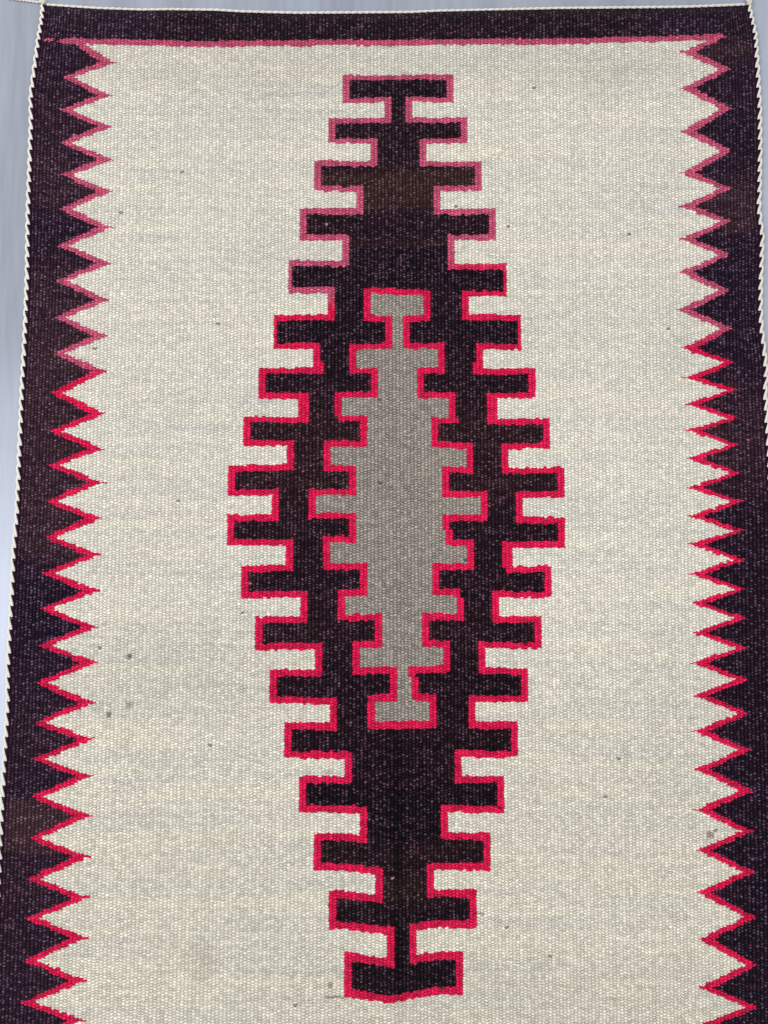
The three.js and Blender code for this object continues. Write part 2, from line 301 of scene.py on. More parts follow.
def edge_x(side, down):
    """Where a long edge stands, side -1 for the left and 1 for the right."""
    return side * (CLOTH_WIDTH / 2 + between(LEFT_EDGE if side < 0 else RIGHT_EDGE, down))


def end_y(end, x):
    """The line of the cloth's end, end 1 for the top and -1 for the bottom."""
    reach = CORNER_REACH * abs(x / (CLOTH_WIDTH / 2)) ** 3
    uneven = between(TOP_EDGE, x) if end > 0 else 0
    return end * (CLOTH_LENGTH / 2 + reach + uneven) + END_CLIMB * x


def down_y(down, x):
    """The y of a distance down the rug, at x."""
    share = down / CLOTH_LENGTH
    return end_y(1, x) * (1 - share) + end_y(-1, x) * share


def rib_x(rib, down):
    """The x of a place across the rug, in ribs from the left edge, at a distance down it."""
    side = -1 if rib < RIB_COUNT / 2 else 1
    share = down / CLOTH_LENGTH
    middle = MIDDLE_RIB_AT_TOP * (1 - share) + MIDDLE_RIB_AT_BOTTOM * share
    from_middle = abs(rib - RIB_COUNT / 2) / (RIB_COUNT / 2)
    straight = middle + (side * CLOTH_WIDTH / 2 - middle) * from_middle
    bending = max(0, 1 - min(rib, RIB_COUNT - rib) / BENDING_RIBS)
    return straight + bending * (edge_x(side, down) - side * CLOTH_WIDTH / 2)


# The rug's middle in the row frame.
low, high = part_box("woven_field")
SHIFT = Vector((
    low.x / MM + CLOTH_WIDTH / 2 + max(out for _, out in LEFT_EDGE),
    high.y / MM - end_y(1, edge_x(1, 0)),
    0,
))


def placed(x, y, z):
    """A point of the rug in millimetres, as metres in the row frame."""
    return (Vector((x, y, z)) + SHIFT) * MM


class Shape:
    """Points and faces of one piece, with a UV pair for each point."""

    def __init__(self):
        self.points, self.faces, self.uvs = [], [], []

    def add(self, x, y, z, u, v):
        self.points.append(placed(x, y, z))
        self.uvs.append((u, v))
        return len(self.points) - 1

    def tube(self, path, radius, sides):
        """A round yarn along a path of millimetre points; radius is a number or one for each point."""
        count = len(path)
        radii = radius if hasattr(radius, "__len__") else [radius] * count
        rings, along = [], 0.0
        for i, point in enumerate(path):
            ahead = path[min(i + 1, count - 1)] - path[max(i - 1, 0)]
            ahead.normalize()
            across = ahead.cross(Vector((0, 0, 1)))
            if across.length < 1e-3:
                across = ahead.cross(Vector((0, 1, 0)))
            across.normalize()
            up = across.cross(ahead)
            if i:
                along += (point - path[i - 1]).length
            ring = []
            for k in range(sides):
                angle = 2 * math.pi * k / sides
                spot = point + radii[i] * (across * math.cos(angle) + up * math.sin(angle))
                ring.append(self.add(spot.x, spot.y, spot.z, abs(2 * k / sides - 1), along))
            rings.append(ring)
        for first, second in zip(rings, rings[1:]):
            for k in range(sides):
                n = (k + 1) % sides
                self.faces.append((first[k], first[n], second[n], second[k]))
        self.faces.append(tuple(reversed(rings[0])))
        self.faces.append(tuple(rings[-1]))

    def make(self, name, material):
        mesh = bpy.data.meshes.new(name)
        mesh.from_pydata([tuple(p) for p in self.points], [], self.faces)
        layer = mesh.uv_layers.new(name="weave")
        for loop in mesh.loops:
            layer.data[loop.index].uv = self.uvs[loop.vertex_index]
        mesh.polygons.foreach_set("use_smooth", [True] * len(mesh.polygons))
        mesh.materials.append(material)
        mesh.validate()
        piece = bpy.data.objects.new(name, mesh)
        bpy.context.collection.objects.link(piece)
        return piece


class Wire:
    """A number that nodes work out at each point of a surface. Sums of wires add Math nodes."""

    def __init__(self, sums, socket):
        self.sums, self.socket = sums, socket

    def __add__(self, other):
        return self.sums.math("ADD", self, other)

    def __radd__(self, other):
        return self.sums.math("ADD", other, self)

    def __sub__(self, other):
        return self.sums.math("SUBTRACT", self, other)

    def __rsub__(self, other):
        return self.sums.math("SUBTRACT", other, self)

    def __mul__(self, other):
        return self.sums.math("MULTIPLY", self, other)

    def __rmul__(self, other):
        return self.sums.math("MULTIPLY", other, self)

    def __truediv__(self, other):
        return self.sums.math("DIVIDE", self, other)

    def __gt__(self, other):
        return self.sums.math("GREATER_THAN", self, other)

    def __lt__(self, other):
        return self.sums.math("LESS_THAN", self, other)

    def __abs__(self):
        return self.sums.math("ABSOLUTE", self)

    def floor(self):
        return self.sums.math("FLOOR", self)

    def fraction(self):
        return self.sums.math("FRACT", self)


class Sums:
    """Writes sums into a material's node tree."""

    def __init__(self, tree):
        self.tree = tree

    def node(self, kind, **settings):
        made = self.tree.nodes.new(kind)
        for name, value in settings.items():
            setattr(made, name, value)
        return made

    def put(self, value, socket):
        if isinstance(value, Wire):
            self.tree.links.new(value.socket, socket)
        else:
            socket.default_value = value

    def math(self, operation, *values):
        made = self.node("ShaderNodeMath", operation=operation)
        for value, socket in zip(values, made.inputs):
            self.put(value, socket)
        return Wire(self, made.outputs[0])

    def low(self, a, b):
        return self.math("MINIMUM", a, b)

    def high(self, a, b):
        return self.math("MAXIMUM", a, b)

    def both(self, a, b):
        return self.math("MULTIPLY", a, b)

    def mix(self, share, first, second):
        made = self.node("ShaderNodeMix", data_type="FLOAT", clamp_factor=False)
        for value, socket in zip((share, first, second), made.inputs[:1] + made.inputs[2:4]):
            self.put(value, socket)
        return Wire(self, made.outputs[0])

    def slope(self, value, start, stop):
        """0 below start, 1 above stop, and smooth between them."""
        made = self.node("ShaderNodeMapRange", interpolation_type="SMOOTHSTEP")
        for given, socket in zip((value, start, stop, 0.0, 1.0), made.inputs):
            self.put(given, socket)
        return Wire(self, made.outputs[0])

    def near(self, value, middle, half, soft):
        """1 within half of middle, and 0 past a soft edge."""
        return self.slope(abs(value - middle), half + soft, half)

    def vector(self, x, y, z=0.0):
        made = self.node("ShaderNodeCombineXYZ")
        for value, socket in zip((x, y, z), made.inputs):
            self.put(value, socket)
        return Wire(self, made.outputs[0])

    def noise(self, x, y, detail=0.0, z=0.0):
        """Soft noise about 0, mostly between -1 and 1."""
        made = self.node("ShaderNodeTexNoise", noise_dimensions="3D")
        made.inputs["Scale"].default_value = 1.0
        made.inputs["Detail"].default_value = detail
        self.put(self.vector(x, y, z), made.inputs["Vector"])
        return Wire(self, made.outputs[0]) * 4.0 - 2.0

    def chance(self, x, y, z=0.0):
        """A number from 0 to 1 that differs from one whole place to the next."""
        made = self.node("ShaderNodeTexWhiteNoise", noise_dimensions="3D")
        self.put(self.vector(x, y, z), made.inputs["Vector"])
        return Wire(self, made.outputs["Value"])

    def table(self, value, rows, reach, first, span):
        """The value of a table of (place, value) rows, places from 0 to reach, values from first on."""
        made = self.node("ShaderNodeFloatCurve")
        curve = made.mapping.curves[0]
        points = [(place / reach, (amount - first) / span) for place, amount in rows]
        while len(curve.points) > 2:
            curve.points.remove(curve.points[1])
        for point, (x, y) in zip((curve.points[0], curve.points[1]), (points[0], points[-1])):
            point.location = (x, y)
        for x, y in points[1:-1]:
            curve.points.new(x, y)
        for point in curve.points:
            point.handle_type = "VECTOR"
        made.mapping.extend = "HORIZONTAL"
        made.mapping.update()
        self.put(value / reach, made.inputs["Value"])
        return Wire(self, made.outputs[0]) * span + first

    def tint(self, share, first, second):
        """A colour between two, each a colour of three bytes or a wire."""
        made = self.node("ShaderNodeMix", data_type="RGBA", clamp_factor=True)
        self.put(share, made.inputs["Factor"])
        for color, socket in zip((first, second), (made.inputs[6], made.inputs[7])):
            self.put(color if isinstance(color, Wire) else (*linear(color), 1), socket)
        return Wire(self, made.outputs[2])

    def wool_tone(self, tone, wools):
        """One of three wools, or a mixture, for a tone from 0 to 1."""
        first, second, third = wools
        to_third = self.slope(tone, 0.5, 1.0)
        mixed = self.tint(self.slope(tone, 0.0, 0.5), first, second)
        return self.tint(to_third, mixed, third)

    def shade(self, color, factor):
        """A colour, of three bytes or a wire, times a number."""
        made = self.node("ShaderNodeVectorMath", operation="SCALE")
        self.put(color if isinstance(color, Wire) else linear(color), made.inputs[0])
        self.put(factor, made.inputs["Scale"])
        return Wire(self, made.outputs[0])

    def uv(self):
        """The two numbers that each point of a piece carries."""
        made = self.node("ShaderNodeUVMap", uv_map="weave")
        parts = self.node("ShaderNodeSeparateXYZ")
        self.tree.links.new(made.outputs[0], parts.inputs[0])
        return Wire(self, parts.outputs[0]), Wire(self, parts.outputs[1])


def wool(name, roughness=0.9, sheen=0.03):
    """An empty woollen material: its sums and its shader."""
    material = bpy.data.materials.new(name)
    material.use_nodes = True
    tree = material.node_tree
    shader = tree.nodes["Principled BSDF"]
    shader.inputs["Roughness"].default_value = roughness
    shader.inputs["Specular IOR Level"].default_value = 0.06
    shader.inputs["Sheen Weight"].default_value = sheen
    shader.inputs["Sheen Roughness"].default_value = 0.4
    return material, Sums(tree), shader


def add_bump(sums, shader, height, distance):
    """Raises a surface by a height from 0 to 1 times a distance in metres."""
    bump = sums.node("ShaderNodeBump")
    bump.inputs["Distance"].default_value = distance
    sums.put(height, bump.inputs["Height"])
    sums.tree.links.new(bump.outputs[0], shader.inputs["Normal"])


def figure_rows():
    """The figure's count of rows at each of its lines, as (down, count)."""
    tops = [(bar, top) for bar, top, _ in BAR_PLACES]
    heights = [(bar, height) for bar, _, height in BAR_PLACES]
    rows = [(0, -1.3)]
    for bar in range(BAR_COUNT):
        top = between(tops, bar)
        foot = top + between(heights, bar)
        edge = RED_EDGE + RED_EDGE_STEP * bar
        rows += [(top - edge, bar), (top, bar + DARK_FROM)]
        rows += [(foot, bar + DARK_TO), (foot + edge, bar + RED_TO)]
    return rows + [(rows[-1][0] + 26, LAST_BAR + 1), (CLOTH_LENGTH, LAST_BAR + 2.3)]


def figure_row(m, down):
    """The bar and the gap at a place, and whether it lies in a bar and in that bar's dark body."""
    count = m.table(down, figure_rows(), CLOTH_LENGTH, -2, 22)
    bar = count.floor()
    part = count - bar
    upper = part < DARK_FROM
    in_dark = (1 - upper) - (part > DARK_TO)
    return bar, bar - upper, part < RED_TO, in_dark


def figure_masks(m, r, down):
    """The stepped figure: outer red, dark, inner red and grey, each 1 where that wool may show."""
    down = down - m.table(down, LEANS, CLOTH_LENGTH, -10, 20) * m.low(m.high(r / 24, -0.5), 0.5)
    # Towards the lower end the rows dip at the middle fold.
    down = down - FOLD_DIP * m.both(m.slope(down, 1050.0, 1330.0), m.slope(abs(r + 3.5), 15.0, 0.0))
    bar, gap, in_bar, in_dark = figure_row(m, down)
    drift = DRIFT * m.slope(down, 760.0, 1000.0)
    stem_drift = drift - LAST_STEM_BACK * (gap > LAST_GAP - 0.5)
    outline = OUTLINE + LOWER_OUTLINE * (down > 520.0)
    steps = m.low(bar, LAST_BAR - bar)
    wider = LOWER_BAR * m.both(m.slope(bar, 10.0, 13.0), bar < LAST_BAR - 0.5)
    bar_half = (BAR_HALF + wider + BAR_STEP * steps) * (steps > -0.5)
    stem_half = STEM_HALF + LOWER_STEM * m.slope(gap, 10.0, 13.0)
    stem_half = stem_half + STEM_STEP * m.low(gap, LAST_GAP - gap)
    outer_half = m.mix(in_bar, stem_half, bar_half)
    dark_half = m.mix(in_dark, stem_half, bar_half) - outline
    outer_reach = abs(r - m.mix(in_bar, stem_drift, drift))
    dark_reach = abs(r - m.mix(in_dark, stem_drift, drift))

    # The grey middle's rows lie a little higher in the figure's lower half.
    lifted = down + GREY_LIFT * m.near(down, 870.0, 130.0, 40.0)
    bar, gap, in_bar, in_dark = figure_row(m, lifted)
    steps = m.low(gap - GREY_GAPS[0], GREY_GAPS[1] - gap)
    grey_bar = m.mix(steps > -0.5, NOTHING, GREY_BAR_HALF + GREY_BAR_STEP * steps)
    grey_stem = GREY_STEM_HALF + GREY_STEM_STEP * m.low(bar - GREY_BARS[0], GREY_BARS[1] - bar)
    grey_half = m.mix(in_bar, grey_bar, grey_stem)
    inner_half = m.mix(in_dark, grey_bar, grey_stem) + INNER_OUTLINE
    inner_reach = abs(r - drift + UPPER_GREY_BACK * (bar < 7.0))
    return (
        outer_reach < outer_half,
        dark_reach < dark_half,
        inner_reach < inner_half,
        inner_reach < grey_half,
    )


def border_masks(m, r, down):
    """The border: dark, and red, each 1 where that wool shows."""
    right = r > 0.0
    counts = [m.table(down, [(d, n) for n, d in teeth], CLOTH_LENGTH, -1, 30)
              for teeth in (LEFT_TEETH, RIGHT_TEETH)]
    outs = [m.table(down, rows, CLOTH_LENGTH, -5, 10) for rows in (LEFT_OUT, RIGHT_OUT)]
    away = 1 - abs((m.mix(right, *counts).fraction() - 0.5)) * 2
    reach = abs(r) - m.mix(right, *outs) - VALLEY_GROWTH * (down / CLOTH_LENGTH) * away
    from_end = m.low(down, CLOTH_LENGTH - down) + LINE_SLANT * r
    past_line = from_end > LINE_TO
    in_line = (from_end > LINE_FROM) - past_line
    dark = m.mix(past_line, 1.0, reach > TIP_DARK + DARK_DEPTH * away)
    line_end = m.mix(right, *LINE_ENDS)
    line_middle = (LINE_FROM + LINE_TO) / 2
    dark = m.mix(in_line, dark, reach > line_end - LINE_POINT * abs(from_end - line_middle))
    # The line's thread comes up once more near the top left corner.
    dark = dark - m.both(m.near(r, -101.6, 1.4, 0.2), m.near(from_end, 43.0, 1.6, 0.2))
    tip = 0.6 * (away < 0.045)
    cream = m.both(past_line, reach < TIP_CREAM - tip + CREAM_DEPTH * away)
    return dark, m.high((1 - dark) - cream, 0.0)


def line_mask(m, x, down, line):
    """1 along a straight thin line on the rug, x and down in millimetres."""
    rib_a, down_a, rib_b, down_b = line
    across, along = (rib_b - rib_a) * RIB_WIDTH, down_b - down_a
    length = math.hypot(across, along)
    across, along = across / length, along / length
    from_x, from_down = x - rib_a * RIB_WIDTH, down - down_a
    off = from_down * across - from_x * along
    far = from_x * across + from_down * along
    return m.both(m.near(off, 0.0, 0.6, 1.6), m.near(far, length / 2, length / 2, 6.0))


def stain_mask(m, x, down, stain):
    """A soft round spot on the rug."""
    rib, at, reach, strength = stain
    from_x, from_down = (x - rib * RIB_WIDTH) / reach, (down - at) / reach
    return strength * m.slope(from_x * from_x + from_down * from_down, 1.3, 0.1)


def shade_mask(m, r, down, shade):
    """A broad soft patch of ground painted lighter or darker, as light and shade."""
    rib, at, reach, tall, amount = shade
    across, along = (r - rib) / reach, (down - at) / tall
    return amount * m.slope(across * across + along * along, 1.4, 0.1)


def lines_mask(m, x, down, lines):
    """1 along any of some thin lines."""
    mark = 0.0
    for line in lines:
        mark = m.high(mark, line_mask(m, x, down, line))
    return mark


class Place:
    """A point's place in the weave.

    rib and row are whole numbers. r counts ribs from the rug's middle, exact is how far down the
    bead's middle lies, and down is where the pattern is read for it. side and length are 0 at the
    bead's middle and 1 at its edges. across, down_at and row_at aren't rounded.
    """

    def __init__(self, m):
        across, down_at = m.uv()
        # The beads slant a little and lie unevenly.
        down_at = down_at + 1.5 * m.noise(across * 0.8, down_at * 0.07, 1.0)
        across = across + 0.13 * m.noise(across * 0.5, down_at * 0.2, 0.0, 4.0)
        furrow = (across + 0.5).floor()
        swing = m.math("COSINE", (down_at / BEAD - (furrow * 0.5 - 0.5).fraction()) * (2 * math.pi))
        across = across + BULGE * swing
        rib = across.floor()
        side = abs(across.fraction() - 0.5) * 2
        odd = (rib * 0.5).fraction() * 2
        sagged = down_at + (SAG * side * side - SAG)
        row_at = sagged / BEAD - odd * 0.5
        self.row = row_at.floor()
        self.length = abs(row_at.fraction() - 0.5) * 2
        r = rib + (0.5 - RIB_COUNT / 2)
        exact = ((sagged * (2 / BEAD)).floor() + 0.5) * (BEAD / 2)
        down = exact + 1.2 * m.noise(r * 0.05, exact * 0.012)
        down = down + m.chance(rib, (exact / 16).floor(), 2.0) - 0.5
        # The pattern's rows keep level where the top edge is uneven.
        edge_rows = [(x / RIB_WIDTH + RIB_COUNT / 2, out) for x, out in TOP_EDGE]
        uneven = m.table(rib, edge_rows, RIB_COUNT, -5, 12)
        self.down = down - uneven * (1 - down / CLOTH_LENGTH)
        self.across, self.down_at, self.row_at = across, down_at, row_at
        self.rib, self.side, self.r, self.exact = rib, side, r, exact


def pattern_masks(m, place):
    """Red wool, dark wool, the grey middle with its outline, and that middle alone, each 0 or 1."""
    outer, dark_body, inner, grey = figure_masks(m, place.r, place.down)
    border_dark, border_red = border_masks(m, place.r, place.down)
    red = m.high(m.both(outer, 1 - dark_body), m.both(inner, 1 - grey))
    red = m.high(red, border_red)
    dark = m.high(m.both(dark_body, 1 - inner), border_dark)
    return red, dark, inner, grey


def red_wool_at(m, place, inner):
    """Red wool, faded above in the outer outline and in the border, but not round the grey middle."""
    fade_from = m.mix(abs(place.r) > BORDER_FROM, m.mix(place.r > 0.0, *FIGURE_FADES),
                      m.mix(place.r > 0.0, *BORDER_FADES))
    wavy = place.down + 6 * m.noise(place.r * 0.3, place.exact * 0.05)
    above = m.slope(wavy, fade_from + FADE_SOFTNESS, fade_from - FADE_SOFTNESS)
    return m.tint(m.both(above, 1 - inner), RED, PINK)


def cream_wool_at(m, place, x, streak, broad):
    """The ground's wool: streaks where the yarn changes, warmer towards the lower end, with stains."""
    warmth = 0.5 + 0.3 * streak + 0.35 * broad + 0.3 * m.slope(place.down, 700.0, 1450.0)
    cream_wool = m.tint(warmth, CREAM_COOL, CREAM_WARM)
    for stain in STAINS:
        cream_wool = m.tint(stain_mask(m, x, place.exact, stain), cream_wool, STAIN)
    return cream_wool


def dark_wool_at(m, place):
    """Dark wool in bands, in the figure and in the border."""
    figure_tone = m.table(place.exact, FIGURE_TONES, CLOTH_LENGTH, 0, 1)
    border_tones = [
        m.table(place.exact, rows, CLOTH_LENGTH, 0, 1) for rows in (LEFT_TONES, RIGHT_TONES)
    ]
    uneven = 0.28 * m.noise(place.r * 0.03, place.exact * 0.2, 2.0, 7.0)
    patchy = uneven + 0.3 * (m.chance(place.rib, place.row, 6.0) - 0.5)
    figure_wool = m.wool_tone(figure_tone + patchy, FIGURE_WOOLS)
    border_wool = m.wool_tone(m.mix(place.r > 0.0, *border_tones) + patchy, BORDER_WOOLS)
    return m.tint(abs(place.r) > BORDER_FROM, figure_wool, border_wool)


def field_material():
    """The weave: each bead takes the wool that the pattern has at its middle."""
    material, m, shader = wool("woven_wool")
    place = Place(m)
    red, dark, inner, grey = pattern_masks(m, place)
    red_wool = red_wool_at(m, place, inner)
    x = place.r * RIB_WIDTH
    streak = m.noise(place.r * 0.02, place.exact * 0.16, 2.0)
    broad = m.noise(place.r * 0.013, place.exact * 0.035, 2.0, 11.0)
    cream_wool = cream_wool_at(m, place, x, streak, broad)
    lazy, loose = [lines_mask(m, x, place.exact, lines) for lines in (LAZY_LINES, LOOSE_ENDS)]
    dark_wool = dark_wool_at(m, place)

    color = m.tint(m.both(inner, grey), cream_wool, GREY)
    color = m.tint(red, color, red_wool)
    color = m.tint(dark, color, dark_wool)

    # Light and shade: a dark furrow between ribs, and beads along each rib, all a little uneven.
    luck = m.chance(place.rib, place.row) - 0.5
    fibre = m.noise(place.across * 1.7, place.down_at * 0.5, 1.0)
    pick = m.noise(place.r * 0.09, place.row_at * 1.3, 1.0, 9.0)
    dyed = m.high(red, m.both(inner, grey))
    furrow = m.slope(place.side, 0.35, 1.0)
    joint = m.slope(place.length, 0.3, 1.0) * (0.4 + 1.2 * m.chance(place.rib, place.row, 5.0))
    lively = 0.27 + 0.3 * dyed + 0.08 * m.slope(place.down, 700.0, 1100.0)
    light = 1.12 + 0.165 * dyed + lively * luck + (0.17 + 0.06 * dyed) * fibre + 0.06 * pick
    light = light + 0.05 * streak + 0.03 * broad + 0.05 * (m.chance(place.rib, 3.0, 3.0) - 0.5)
    light = light * (1 - (0.36 + 0.2 * dyed) * furrow) * (1 - (0.28 + 0.2 * dyed) * joint)
    light = light * (1 - 0.06 * lazy) * (1 - 0.6 * loose)
    for shade in SHADES:
        light = light * (1 + shade_mask(m, place.r, place.exact, shade))

    # Dark wool is near black but for the light on some of its beads. It is darker below a slanting
    # line in the figure and in the right border.
    from_left = m.slope(place.r, -70.0, -50.0)
    lower = m.both(from_left, m.slope(place.exact + 2.5 * place.r, 850.0, 1060.0))
    bright = m.chance(place.rib, place.row, 10.0)
    shape = (1 - 0.9 * m.slope(place.side, 0.15, 0.9)) * m.high(1 - 0.8 * joint, 0.0)
    dots = (0.45 + 1.75 * bright * bright) * (1 + 0.5 * fibre) * shape
    sheen = m.tint(abs(place.r) > BORDER_FROM, FIGURE_SHEEN, BORDER_SHEEN)
    color = m.tint(m.both(dark, m.high(0.25 * dots, 0.0)), color, sheen)
    dim = (0.48 + 0.1 * pick) * (1 - 0.5 * furrow) * (1 - 0.35 * lower)
    light = m.mix(dark, light, dim + 0.42 * dots)

    # Painted shade along the crease of the middle fold, deeper on dark wool.
    crease_shade = m.near(place.r, -1.0, 0.6, 1.6) * m.slope(place.exact, 980.0, 1120.0)
    light = light * (1 - crease_shade * (0.08 + 0.4 * dark))
    # A stray fibre here and there: dark in the ground, light in the dark wool.
    stray = m.chance(place.rib, place.row, 8.0) > 0.9995
    light = m.mix(stray, light, m.mix(dark, 0.35, 4.5))
    m.put(m.shade(color, light), shader.inputs["Base Color"])

    height = (1 - 0.6 * place.side * place.side) * (1 - place.length * place.length)
    height = height + 0.1 * m.noise(place.across * 3, place.down_at * 1.6)
    add_bump(m, shader, height, CLOTH_RELIEF)
    return material


def yarn_material(name, color):
    """Twisted woollen yarn: slanted plies with painted shade between them, and loose fibres."""
    material, m, shader = wool(name)
    around, along = m.uv()
    slant = (along * PLIES_IN_MM + around).fraction()
    ply = abs(slant - 0.5) * 2
    fibre = m.noise(around * 4, along * 1.1, 2.0)
    # Painted shade in the grooves between the plies.
    light = 1.03 - 0.3 * ply * ply + 0.08 * fibre
    m.put(m.shade(color, light), shader.inputs["Base Color"])
    add_bump(m, shader, (1 - ply * ply) + 0.2 * fibre, YARN_RELIEF)
    return material


def floor_material():
    """Pale boards that run the rug's long way, with painted light and shade: they are darker beside its
    upper part than beside its lower part and its right side, and away from the rug their tone is even."""
    material, m, shader = wool("pale_floor", 0.6, 0.0)
    place = m.node("ShaderNodeTexCoord")
    parts = m.node("ShaderNodeSeparateXYZ")
    m.tree.links.new(place.outputs["Object"], parts.inputs[0])
    x, y = Wire(m, parts.outputs[0]) * (1 / MM), Wire(m, parts.outputs[1]) * (1 / MM)
    grain = m.noise(x * 0.11, y * 0.009, 2.0) * 0.9 + m.noise(x * 0.02, y * 0.001, 0.0, 5.0)
    light = 0.79 + 0.25 * m.slope(y, 270.0, 120.0) + 0.4 * m.slope(y, 130.0, -120.0) + 0.07 * grain
    light = light + 0.25 * m.slope(x, 480.0, 580.0)
    light = m.mix(m.slope(m.high(abs(x), abs(y)), 1500.0, 850.0), 1.0, light)
    m.put(m.shade(FLOOR, light), shader.inputs["Base Color"])
    return material


def fold_height(x, down):
    """The soft ridge down the middle of the lower half, and the cloth's slight waves."""
    along = min(max((down - RIDGE_FROM) / RIDGE_GROWTH, 0), 1)
    ridge = RIDGE_HEIGHT * along * math.exp(-((x - RIDGE_X) / RIDGE_HALF) ** 2)
    waves = WAVE_HEIGHT * math.sin(x / 83 + down / 210) * math.sin(down / 137 + 1.3)
    return ridge + waves


def make_field(material):
    """The cloth: its ribbed face, a rim turned down to the floor, and a flat underside."""
    shape = Shape()
    columns = [rib + at for rib in range(RIB_COUNT) for at, _ in RIB_SECTION] + [RIB_COUNT]
    heights = [height for _ in range(RIB_COUNT) for _, height in RIB_SECTION] + [0.0]
    downs = [CLOTH_LENGTH * i / (FIELD_ROWS - 1) for i in range(FIELD_ROWS)]
    grid = []
    for down in downs:
        line = []
        for rib, height in zip(columns, heights):
            x = rib_x(rib, down)
            z = CLOTH_THICKNESS + RIB_HEIGHT * (height - 1) + fold_height(x, down)
            line.append(shape.add(x, down_y(down, x), z, rib, down))
        grid.append(line)
    for upper, lower in zip(grid, grid[1:]):
        for i in range(len(columns) - 1):
            shape.faces.append((upper[i], lower[i], lower[i + 1], upper[i + 1]))

    left = [line[0] for line in grid]
    right = [line[-1] for line in grid]
    loop = left + grid[-1][1:-1] + right[::-1] + grid[0][-2:0:-1]
    feet = []
    for i in loop:
        point, (u, v) = shape.points[i], shape.uvs[i]
        shape.points.append(Vector((point.x, point.y, 0)))
        shape.uvs.append((u, v))
        feet.append(len(shape.points) - 1)
    for i in range(len(loop)):
        n = (i + 1) % len(loop)
        shape.faces.append((loop[i], feet[i], feet[n], loop[n]))
    shape.faces.append(tuple(reversed(feet)))
    piece = shape.make("rug_field", material)
    flat = len(piece.data.polygons) - 1
    piece.data.polygons[flat].use_smooth = False
    return piece


def twist_at(rows, distance):
    """The angle that a cord has turned through after each step, with (place, half turn) rows."""
    turned, at = 0.0, 0.0
    angles = []
    while at <= distance:
        turned += math.pi * TWIST_STEP / between(rows, at)
        at += TWIST_STEP
        angles.append(turned)
    return angles


def make_strands(name, centres, angles, across, strand, material):
    """The two strands of a twisted cord round its middle line."""
    cord = Shape()
    for phase in (0, math.pi):
        path = []
        for centre, angle in zip(centres, angles):
            side = strand["reach"] * math.cos(angle + phase)
            height = strand["middle"] + strand["rise"] * math.sin(angle + phase)
            path.append(centre + across * side + Vector((0, 0, height)))
        cord.tube(path, strand["radius"], strand["sides"])
    return cord.make(name, material)


def make_side_cord(side, cream, dark, draw):
    """A cord of two cream strands. The dark weft turns round it from the cloth's side, and each
    strand comes out between the turns as a slanting tooth."""
    name = "left" if side < 0 else "right"
    turned = twist_at(SIDE_HALF_TURNS, CLOTH_LENGTH)
    angles = [side * a for a in turned]
    places = [(CLOTH_LENGTH * i / (len(angles) - 1), a / math.pi) for i, a in enumerate(turned)]
    centres = []
    for down, _ in places:
        edge = edge_x(side, down)
        centres.append(Vector((edge + side * (GAP + SIDE_REACH), down_y(down, edge), 0)))
    across = Vector((1, 0, 0))
    cord = make_strands(f"side_cord_strands_{name}", centres, angles, across, SIDE_STRANDS, cream)

    turns = Shape()
    base = GAP + SIDE_REACH + TURN_ROOT
    for i in range(int(CLOTH_LENGTH / WEFT_TURN)):
        down = (i + 0.5) * WEFT_TURN
        edge = edge_x(side, down)
        along = between(places, down) % 1.0
        luck = draw.uniform(-TURN_TIP_LUCK, TURN_TIP_LUCK)
        tip = min(TURN_TIP_FIRST + TURN_TIP_GROWTH * along + luck, TURN_TIP_MOST)
        top = TURN_HEIGHT + draw.uniform(-TURN_HEIGHT_LUCK, TURN_HEIGHT_LUCK)
        path = []
        for share, z in ((0.0, 2.4), (0.22, top - 0.5), (0.55, top), (0.88, top - 0.3), (1.0, 3.2)):
            inward = base + (tip - base) * share
            x = edge + side * (GAP + SIDE_REACH - inward)
            path.append(Vector((x, down_y(down, edge), z)))
        turns.tube(path, SIDE_TURN_RADII, 6)
    turns = turns.make(f"side_weft_turns_{name}", dark)
    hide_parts(f"side_cord_{name}")
    return cord, turns


def make_end_cord(end, cream, dark):
    """A thin two-strand cord along the warp's loops, which show as a row of dark turns."""
    name = "top" if end > 0 else "bottom"
    down = 0 if end > 0 else CLOTH_LENGTH
    left, right = edge_x(-1, down) + END_CORD_INSET, edge_x(1, down) - END_CORD_INSET
    count = round((right - left) / END_CORD_STEP)
    centres, angles = [], []
    for i in range(count + 1):
        x = left + (right - left) * i / count
        centres.append(Vector((x, end_y(end, x) + end * (GAP + END_REACH), 0)))
        angles.append(math.pi * (x - left) / END_HALF_TURN)
    across = Vector((0, 1, 0))
    cord = make_strands(f"end_cord_strands_{name}", centres, angles, across, END_STRANDS, cream)
    turns = Shape()
    arch_steps = len(END_TURN_RADII) - 1
    for rib in range(RIB_COUNT):
        x = rib_x(rib + 0.5, down)
        y = end_y(end, x)
        arch = []
        for i in range(arch_steps + 1):
            angle = math.pi * (0.05 + 0.9 * i / arch_steps)
            out = ARCH_REACH * math.sin(angle) - ARCH_INSET
            arch.append(Vector((x, y + end * out, ARCH_HEIGHT - math.cos(angle))))
        turns.tube(arch, END_TURN_RADII, 6)
    turns = turns.make(f"end_turns_{name}", dark)
    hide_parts(f"end_cord_{name}")
    return cord, turns


def tail_path(start, heading, length, bend):
    """The line of a tail that drops from its knot and then lies on the floor."""
    at, path = Vector(start), []
    for i in range(TAIL_STEPS + 1):
        share = i / TAIL_STEPS
        lie = min(share * length / TAIL_DROP, 1)
        height = start.z + (TAIL_HEIGHT - start.z) * lie * lie * (3 - 2 * lie)
        path.append(Vector((at.x, at.y, height)))
        angle = math.radians(heading + bend * share)
        at += Vector((math.cos(angle), math.sin(angle), 0)) * length / TAIL_STEPS
    return path


